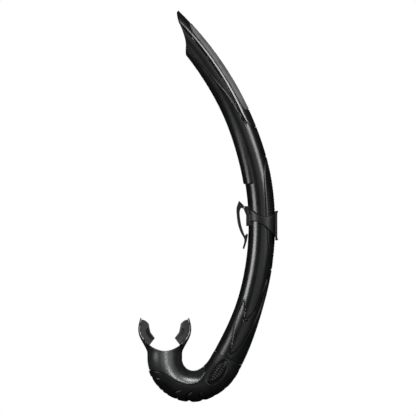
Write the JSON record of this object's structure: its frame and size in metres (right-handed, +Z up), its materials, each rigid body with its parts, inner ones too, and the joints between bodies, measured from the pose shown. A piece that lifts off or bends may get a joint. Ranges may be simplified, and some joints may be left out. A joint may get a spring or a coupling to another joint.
{
  "type": "snorkel tube",
  "caption": "Curved snorkel tube with a slanted air opening, soft elbow with purge valve, bite mouthpiece and a sliding mask-strap keeper.",
  "frame": {"origin": "middle of the flat strap seat on the keeper, where the mask strap bears and holds the snorkel", "axes": "+Z up along the barrel at the keeper, towards the air opening; -X is the outward normal of the strap seat, towards the wearer's head; Y runs across the tube, and the snorkel is mirror-symmetric about Y = 0"},
  "size_m": [0.1503, 0.031, 0.4211],
  "materials": {
    "barrel_gloss": "gloss black thermoplastic polyurethane",
    "cover_satin": "glossy near-black overmould",
    "strip_grey": "mid grey satin inlay",
    "grip_soft": "soft-touch black elastomer",
    "hard_black": "gloss black moulded plastic",
    "sleeve_rubber": "satin black rubber",
    "valve_clear": "translucent silicone",
    "mouth_silicone": "semi-gloss black silicone",
    "bite_grey": "mid grey textured elastomer",
    "keeper_satin": "satin black polyurethane"
  },
  "bodies": {
    "tube": {"barrel": "barrel_gloss", "spine_cover": "cover_satin", "visibility_strip": "strip_grey", "back_grip": "grip_soft", "tip_facet_left": "grip_soft", "tip_facet_right": "grip_soft", "side_panel_left": "grip_soft", "side_panel_right": "grip_soft", "panel_pin_left": "barrel_gloss", "panel_pin_right": "barrel_gloss", "elbow_core": "hard_black", "elbow_sleeve": "sleeve_rubber", "badge_left": "hard_black", "badge_right": "hard_black", "purge_seat": "hard_black", "purge_cover": "hard_black", "mouthpiece": "mouth_silicone", "bite_tab_outer": "bite_grey", "bite_tab_inner": "bite_grey"},
    "keeper": {"keeper_band": "keeper_satin"},
    "strap_finger": {"keeper_finger": "keeper_satin"},
    "purge_flap": {"purge_valve": "valve_clear"}
  },
  "joints": [
    {"name": "keeper_slide", "type": "hinge", "parent": "tube", "child": "keeper", "pos_m": [-0.27562, 0, -0.0048], "axis": [0, -1, 0], "range_deg": [-9.5, 4]},
    {"name": "finger_flex", "type": "hinge", "parent": "keeper", "child": "strap_finger", "pos_m": [-0.0021, 0, 0.0156], "axis": [0, 1, 0], "range_deg": [0, 15], "stiffness_Nm_per_rad": 0.15},
    {"name": "purge_lift", "type": "slide", "parent": "tube", "child": "purge_flap", "axis": [-0.6847, 0, -0.7289], "range_m": [0, 0.0012], "stiffness_N_per_m": 20}
  ]
}
